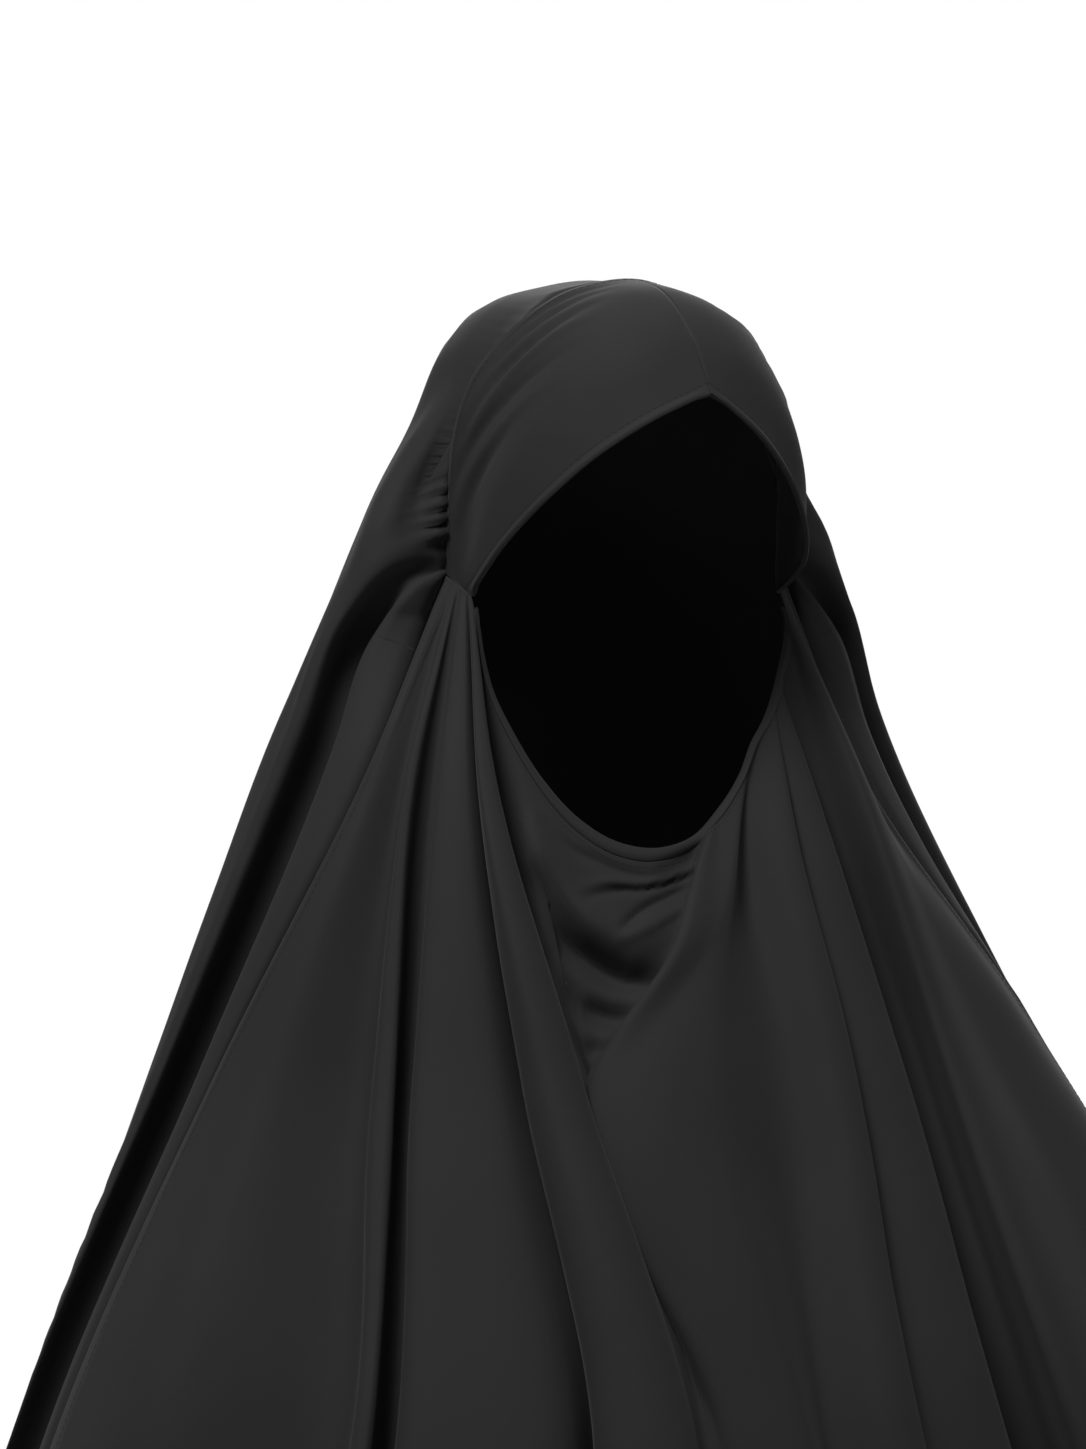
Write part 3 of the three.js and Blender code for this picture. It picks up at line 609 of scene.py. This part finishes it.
def press(grid, columns, face, swags):
    """Presses soft lines into a face, each strongest along its middle and gone at its ends."""
    steps = np.linspace(0, 1, SWAG_STEPS + 1)
    strength = np.abs(np.sin(np.pi * steps))
    move = np.zeros(grid.shape[:2])
    for swag in swags:
        ends = np.array([[swag[end + "Column"], swag[end + "Row"]] for end in ["from", "mid", "to"]])
        places = through_points(ends, 2 * steps)
        line = np.array([face(place[:1], place[1:])[0, 0] for place in places])
        low = min(swag["fromColumn"], swag["toColumn"]) - 1
        high = max(swag["fromColumn"], swag["toColumn"]) + 1
        near = (columns >= low) & (columns <= high)
        far = np.linalg.norm(grid[near][:, :, None] - line, axis=-1)
        share = far.min(-1) / (swag["width"] * HEAD_HALF_WIDTH)
        depth = swag["depth"] * HEAD_HALF_WIDTH * strength[far.argmin(-1)]
        move[near] += depth * np.exp(-share ** 2)
    return grid + normals(grid) * move[..., None]


def away(grid, side):
    """How far the points of a grid lie from one of its borders, along its rows or columns."""
    axis = 0 if side in ("first", "last") else 1
    step = np.linalg.norm(np.diff(grid, axis=axis), axis=-1)
    run = np.insert(np.cumsum(step, axis=axis), 0, 0, axis=axis)
    if side in ("last", "bottom"):
        return run.max(axis=axis, keepdims=True) - run
    return run


def beside(grid, side, distance):
    """The line at a distance from one of a grid's borders, with the ways out along it."""
    run = away(grid, side)
    out = normals(grid)
    if side in ("first", "last"):
        run, grid, out = run.T, grid.transpose(1, 0, 2), out.transpose(1, 0, 2)
    if side in ("last", "bottom"):
        run, grid, out = run[:, ::-1], grid[:, ::-1], out[:, ::-1]
    pairs = range(len(grid))
    return [np.array([[np.interp(distance, run[i], face[i, :, k]) for k in range(3)] for i in pairs])
            for face in (grid, out)]


def bump(distance, reach):
    """A soft bump that has fallen to about a third at its reach."""
    return np.exp(-(distance / reach) ** 2)


def wave(points, form, shift=0):
    """The cloth's own unevenness at points: smooth seeded noise, stretched down its fall."""
    scale = np.array([1 / form["across"], 1 / form["across"], 1 / form["down"]])
    places = points.reshape(-1, 3) * scale + (form["seed"] + shift)
    uneven = np.array([noise.noise(Vector(place)) for place in places])
    return form["depth"] * uneven.reshape(points.shape[:2])


def draw_back(grid, side, distance):
    """Moves a grid's border towards the row or column inside it."""
    border, inside = {
        "first": (np.s_[0], np.s_[1]),
        "last": (np.s_[-1], np.s_[-2]),
        "top": (np.s_[:, 0], np.s_[:, 1]),
        "bottom": (np.s_[:, -1], np.s_[:, -2]),
    }[side]
    grid[border] += unit(grid[inside] - grid[border]) * distance


def add_piece(name, points, faces, smooth_faces=0):
    """A mesh as an object in the scene, with its first faces smooth."""
    mesh = bpy.data.meshes.new(name)
    mesh.from_pydata(points.reshape(-1, 3).tolist(), [], faces.tolist())
    mesh.polygons.foreach_set("use_smooth", np.arange(len(faces)) < smooth_faces)
    mesh.update()
    piece = bpy.data.objects.new(name, mesh)
    bpy.context.scene.collection.objects.link(piece)
    return piece


def wall(name, outer, inner):
    """One closed body between an outer and an inner grid of the same size."""
    across, down = outer.shape[:2]
    out, into = np.arange(2 * across * down).reshape(2, across, down)

    def faces(a, b, c, d):
        return np.stack([a, b, c, d], -1).reshape(-1, 4)

    quads = np.concatenate([
        faces(out[:-1, :-1], out[:-1, 1:], out[1:, 1:], out[1:, :-1]),
        faces(into[:-1, :-1], into[1:, :-1], into[1:, 1:], into[:-1, 1:]),
        faces(out[:-1, 0], out[1:, 0], into[1:, 0], into[:-1, 0]),
        faces(out[:-1, -1], into[:-1, -1], into[1:, -1], out[1:, -1]),
        faces(out[0, :-1], into[0, :-1], into[0, 1:], out[0, 1:]),
        faces(out[-1, :-1], out[-1, 1:], into[-1, 1:], into[-1, :-1]),
    ])
    return add_piece(name, np.stack([outer, inner]), quads, 2 * (across - 1) * (down - 1))


def stitch_rows(rows, material):
    """Rows of short stitches, each a small bar half sunk in the cloth, as one piece."""
    corners = np.array([[x, y, z] for x in (-1, 1) for y in (-1, 1) for z in (-1, 1)]) / 2
    sides = np.array([
        [0, 1, 3, 2],
        [4, 6, 7, 5],
        [0, 4, 5, 1],
        [2, 3, 7, 6],
        [0, 2, 6, 4],
        [1, 5, 7, 3],
    ])
    size = np.array([STITCH["long"], STITCH["wide"], STITCH["high"]])
    points = []
    for line, out, pitch in rows:
        run = np.concatenate([[0], np.cumsum(np.linalg.norm(np.diff(line, axis=0), axis=1))])
        places = np.arange(pitch / 2, run[-1], pitch)
        centre = np.stack([np.interp(places, run, line[:, k]) for k in range(3)], -1)
        ahead = np.stack([np.interp(places + pitch / 4, run, line[:, k]) for k in range(3)], -1)
        back = np.stack([np.interp(places - pitch / 4, run, line[:, k]) for k in range(3)], -1)
        along = unit(ahead - back)
        up = np.stack([np.interp(places, run, out[:, k]) for k in range(3)], -1)
        across = unit(np.cross(up, along))
        up = np.cross(along, across)
        axes = np.stack([along, across, up], 1)
        points.append(centre[:, None] + np.einsum("ck,nkd->ncd", corners * size, axes))
    points = np.concatenate(points)
    quads = (np.arange(len(points))[:, None, None] * len(corners) + sides).reshape(-1, 4)
    piece = add_piece("stitching", points, quads)
    piece.data.materials.append(material)
    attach(piece, "root")


def sewn_cloth(name, grid, thickness, sewn, node, material, way=normals):
    """A cloth wall drawn back at its sewn borders, riding on the body in its node's place. Its
    inner face lies a thickness behind the outer one, against the way out."""
    for side in sewn:
        draw_back(grid, side, SEWN_GAP / 2)
    piece = wall(name, grid, grid - way(grid) * thickness)
    piece.data.materials.append(material)
    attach(piece, "root")
    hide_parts(node)
    return piece


def camera():
    """The camera at the photograph's angle, looking so that the crown lies where it does there."""
    azimuth, elevation = math.radians(AZIMUTH), math.radians(ELEVATION)
    right = Vector((math.cos(azimuth), math.sin(azimuth), 0))
    back = Vector((
        math.sin(azimuth) * math.cos(elevation),
        -math.cos(azimuth) * math.cos(elevation),
        math.sin(elevation),
    ))
    up = back.cross(right)
    data = bpy.data.cameras.new("camera")
    data.sensor_width = SENSOR_WIDTH
    data.lens = SENSOR_WIDTH * CAMERA_DISTANCE / (PIXEL * PICTURE_HEIGHT)
    data.clip_start, data.clip_end = NEAREST, FARTHEST
    shot = bpy.data.objects.new("camera", data)
    place = back * CAMERA_DISTANCE - right * CROWN_RIGHT * PIXEL - up * CROWN_UP * PIXEL
    shot.matrix_world = Matrix.Translation(place) @ Matrix((right, up, back)).transposed().to_4x4()
    bpy.context.scene.collection.objects.link(shot)
    bpy.context.scene.camera = shot


def set_inputs(node, values):
    for name, value in values.items():
        node.inputs[name].default_value = value


def add_node(tree, kind, values):
    """A new node of a tree, with values on its inputs."""
    node = tree.nodes.new(kind)
    set_inputs(node, values)
    return node


def add_math(tree, kind, operation):
    node = tree.nodes.new(kind)
    node.operation = operation
    return node


def crepe():
    """Matte black crepe: a fine pebbled grain with a faint upright rib, and hardly any sheen."""
    material = bpy.data.materials.new("black_crepe")
    material.use_nodes = True
    tree = material.node_tree
    shader = tree.nodes["Principled BSDF"]
    set_inputs(shader, CREPE_LIGHT)
    place = tree.nodes.new("ShaderNodeTexCoord").outputs["Object"]
    grain = add_node(tree, "ShaderNodeTexNoise", GRAIN)
    rib = add_node(tree, "ShaderNodeTexNoise", RIB)
    stretch = add_node(tree, "ShaderNodeMapping", RIB_STRETCH)
    height = add_math(tree, "ShaderNodeMath", "MULTIPLY_ADD")
    height.inputs[1].default_value = GRAIN_SHARE
    relief = add_node(tree, "ShaderNodeBump", CREPE_RELIEF)
    wear = add_node(tree, "ShaderNodeTexNoise", WEAR)
    shade = tree.nodes.new("ShaderNodeMix")
    shade.data_type = "RGBA"
    share, deep, worn = shade.inputs[0], shade.inputs[6], shade.inputs[7]
    deep.default_value = DEEP_BLACK
    worn.default_value = WORN_BLACK
    for source, target in [
        (place, grain.inputs["Vector"]),
        (place, stretch.inputs["Vector"]),
        (stretch.outputs["Vector"], rib.inputs["Vector"]),
        (place, wear.inputs["Vector"]),
        (grain.outputs["Fac"], height.inputs[0]),
        (rib.outputs["Fac"], height.inputs[2]),
        (height.outputs["Value"], relief.inputs["Height"]),
        (relief.outputs["Normal"], shader.inputs["Normal"]),
        (wear.outputs["Fac"], share),
        (shade.outputs[2], shader.inputs["Base Color"]),
    ]:
        tree.links.new(source, target)
    return material


def panel(folds, edge, is_hood, swags):
    """A panel's fine outer face, where its columns start along its edge, and its places."""
    lines = panel_lines(folds, edge, is_hood)
    columns, rows = column_places(lines), row_places(lines)

    def face(column_at, row_at):
        return panel_face(lines, folds, edge, column_at, row_at)[0]

    grid, along = panel_face(lines, folds, edge, columns, rows)
    grid = press(grid, columns, face, swags)
    inside = np.minimum(away(grid, "first"), away(grid, "last"))
    free = smoothstep(WAVE_FROM, WAVE_FULL, np.minimum(inside, away(grid, "top")))
    relief = free * (wave(grid, COARSE_WAVE) + wave(grid, FINE_WAVE))
    relief += FELL_PROUD * (1 - smoothstep(FELL_WIDTH * FELL_SHOULDER, FELL_WIDTH, inside))
    relief -= SEAM_DIP * bump(inside, SEAM_REACH)
    hem = away(grid, "bottom")
    relief += HEM_PROUD * (1 - smoothstep(HEM_WIDTH * HEM_SHOULDER, HEM_WIDTH, hem))
    return grid + normals(grid) * relief[..., None], along, columns, rows


def pucker(grid, along):
    """Puckers along the gathered ends of a panel's top edge."""
    share = np.minimum(along, 1 - along) / PUCKERED
    run = away(grid, "first")[:, :1]
    turn = 2 * np.pi * run / PUCKER_PITCH
    uneven = wave(grid[:, :1], PUCKER_WAVE)
    height = np.sin(turn + PUCKER_SHIFT * uneven) * (PUCKER_LEAST + uneven)
    strength = smoothstep(0, PUCKER_FADE, 1 - share) * smoothstep(0, PUCKER_RISE, share)
    depth = PUCKER_DEPTH * height * strength[:, None] * bump(away(grid, "top"), PUCKER_REACH)
    return grid + normals(grid) * depth[..., None]


def under_binding(grid, along):
    """The front panel's rows below the chin binding, and the rows that the binding covers."""
    inside = np.minimum(along, 1 - along) - GATHERED
    width = BINDING_WIDTH * smoothstep(0, BINDING_RISE, inside)
    run = away(grid, "top")
    width = width[:, None]
    below = np.where(run < SQUEEZED, width + run * (SQUEEZED - width) / SQUEEZED, run)
    across = np.linspace(0, 1, BINDING_ROWS + 1) * width

    def at(places):
        return np.stack([[np.interp(places[i], run[i], grid[i, :, k]) for i in range(len(grid))]
                         for k in range(3)], -1)

    is_bound = inside >= BINDING_RISE
    return at(below), at(across)[is_bound]


def front_panel(material):
    grid, along = panel(FRONT_FOLDS, chin_edge, False, COWL_SWAGS + COWL_CREASES)[:2]
    grid, binding = under_binding(grid, along)
    piece = sewn_cloth("front_cloth", grid, CLOTH, ["first", "last", "top"], "front_panel", material)
    return grid, binding


def chin_binding(binding, material):
    """The turned binding along the chin edge, rounded over its width."""
    share = np.linspace(0, 1, BINDING_ROWS + 1)
    rise = BINDING_CLOTH / 2 * np.sin(np.pi * share)[None, :, None]
    grid = binding + way_out(binding) * rise
    sewn = ["bottom"]
    piece = sewn_cloth("chin_binding_cloth", grid, BINDING_CLOTH, sewn, "chin_binding", material, way_out)


def bartack(grid, columns, rows, is_mirrored):
    """A short dense row of stitches on the back panel, with the ways out along it."""
    share = np.linspace(0, 1, BARTACK_STEPS + 1)
    column_at = mix(BARTACK["fromColumn"], BARTACK["toColumn"], share)
    if is_mirrored:
        column_at = columns[-1] - column_at
    i = np.interp(column_at, columns, np.arange(len(columns)))
    j = np.interp(mix(BARTACK["fromRow"], BARTACK["toRow"], share), rows, np.arange(len(rows)))
    x, y = np.floor(i).astype(int), np.floor(j).astype(int)
    a, b = (i - x)[:, None], (j - y)[:, None]

    def between(face):
        upper = mix(face[x, y], face[x + 1, y], a)
        lower = mix(face[x, y + 1], face[x + 1, y + 1], a)
        return mix(upper, lower, b)

    return between(grid), between(normals(grid)), BARTACK["pitch"]


def back_panel(material):
    grid, along, columns, rows = panel(back_folds(), arch, True, HOOD_FOLDS + BACK_CREASES)
    grid = pucker(grid, along)
    piece = sewn_cloth("back_cloth", grid, CLOTH, ["first", "last", "top"], "back_panel", material)
    return grid, [bartack(grid, columns, rows, is_mirrored) for is_mirrored in (False, True)]


def band_face(face_edge, temple, columns, rows):
    """Half of the forehead band on the head's surface, between the hood's seam and the face."""
    seam = arch(mix(temple, 0.5, columns))
    edge = edge_curve(face_edge)(columns)
    hold = np.maximum(1 - TEMPLE_HOLD * columns, 0)[:, None]

    def held(points, share):
        gather = np.full(len(columns), mix(temple, 1 - temple, share * GATHERED))
        return mix(points, chin_edge(gather), hold)

    on_head = [held(head_point(mix(seam, edge, share)), share) for share in (1 / 3, 2 / 3)]
    return through_points(np.stack([seam, *on_head, held(edge, 1)]), rows).transpose(1, 0, 2)


def band_half(name, face_edge, temple, node, material):
    """Half of the forehead band, with its creases and the rolled edge round the face."""
    columns = np.linspace(0, 1, BAND_COLUMNS + 1)
    rows = np.concatenate([
        np.linspace(0, BAND_EDGE, BAND_ROWS + 1),
        np.linspace(BAND_EDGE, BAND_FACE, BAND_EDGE_ROWS + 1)[1:],
    ])
    if temple == 1:
        columns = columns[::-1]
    grid = band_face(face_edge, temple, columns, rows)

    def face(column_at, row_at):
        return band_face(face_edge, temple, column_at, row_at)

    grid = press(grid, columns, face, BAND_CREASES)
    ends = np.minimum(away(grid, "first"), away(grid, "last"))
    free = smoothstep(0, BAND_WAVE_FULL, np.minimum(ends, away(grid, "top")))
    relief = free * wave(grid, BAND_WAVE, temple)
    edge = away(grid, "bottom")
    relief += smoothstep(0, ROLL_RISE, ends) * ROLL_PROUD * bump(edge - ROLL_WIDTH / 2, ROLL_WIDTH / 2)
    grid += normals(grid) * relief[..., None]
    piece = sewn_cloth(name, grid, BAND_CLOTH, ["first", "last", "top"], node, material)
    return grid


def sewing(bands, back, front, bartacks, material):
    """The rows of stitches beside the seams and along the hem, and the bartacks."""
    rows = [beside(band, "top", BESIDE_SEAM) for band in bands]
    rows += [beside(band, "bottom", BESIDE_EDGE) for band in bands]
    rows += [beside(cloth, "bottom", BESIDE_HEM) for cloth in (back, front)]
    rows += [beside(front, side, BESIDE_FELL) for side in ("first", "last")]
    rows += [beside(front, "top", BESIDE_SEAM)]
    stitch_rows([(line, out, STITCH["pitch"]) for line, out in rows] + bartacks, material)


def floor():
    """A plain pale floor."""
    corners = np.array([(-1, -1), (1, -1), (1, 1), (-1, 1)]) * FLOOR_HALF
    points = np.column_stack([corners, np.full(len(corners), -FLOOR_BELOW_CROWN)])
    piece = add_piece("floor", points, np.array([[0, 1, 2, 3]]))
    pale = bpy.data.materials.new("pale_floor")
    pale.use_nodes = True
    set_inputs(pale.node_tree.nodes["Principled BSDF"], FLOOR_LIGHT)
    piece.data.materials.append(pale)


def surroundings():
    """White surroundings that glow behind the veil and above it."""
    world = bpy.data.worlds.new("studio")
    world.use_nodes = True
    tree = world.node_tree
    background = tree.nodes["Background"]
    background.inputs["Color"].default_value = (1, 1, 1, 1)
    way = tree.nodes.new("ShaderNodeTexCoord").outputs["Generated"]
    both = tree.nodes.new("ShaderNodeMath")
    for place, form in enumerate(GLOWS):
        facing = add_math(tree, "ShaderNodeVectorMath", "DOT_PRODUCT")
        facing.inputs[1].default_value = form["toward"]
        glow = add_node(tree, "ShaderNodeMapRange", {
            "From Min": form["low"],
            "From Max": form["high"],
            "To Min": form["least"],
            "To Max": form["most"],
        })
        glow.interpolation_type = "SMOOTHSTEP"
        tree.links.new(way, facing.inputs[0])
        tree.links.new(facing.outputs["Value"], glow.inputs["Value"])
        tree.links.new(glow.outputs["Result"], both.inputs[place])
    tree.links.new(both.outputs["Value"], background.inputs["Strength"])
    bpy.context.scene.world = world


def softboxes():
    for box in SOFTBOXES:
        data = bpy.data.lights.new("softbox", "AREA")
        data.size, data.energy = box["size"], box["power"]
        light = bpy.data.objects.new("softbox", data)
        light.location = box["place"]
        toward = Vector(LIT_PLACE) - Vector(box["place"])
        light.rotation_euler = toward.to_track_quat("-Z", "Y").to_euler()
        bpy.context.scene.collection.objects.link(light)


camera()
black = crepe()
band_right = band_half("band_right_cloth", FACE_EDGE_RIGHT, 0, "band_right", black)
band_left = band_half("band_left_cloth", FACE_EDGE_LEFT, 1, "band_left", black)
back, bartacks = back_panel(black)
front, under_chin = front_panel(black)
chin_binding(under_chin, black)
sewing([band_right, band_left], back, front, bartacks, black)
floor()
surroundings()
softboxes()
bpy.context.scene.view_settings.view_transform = "Standard"
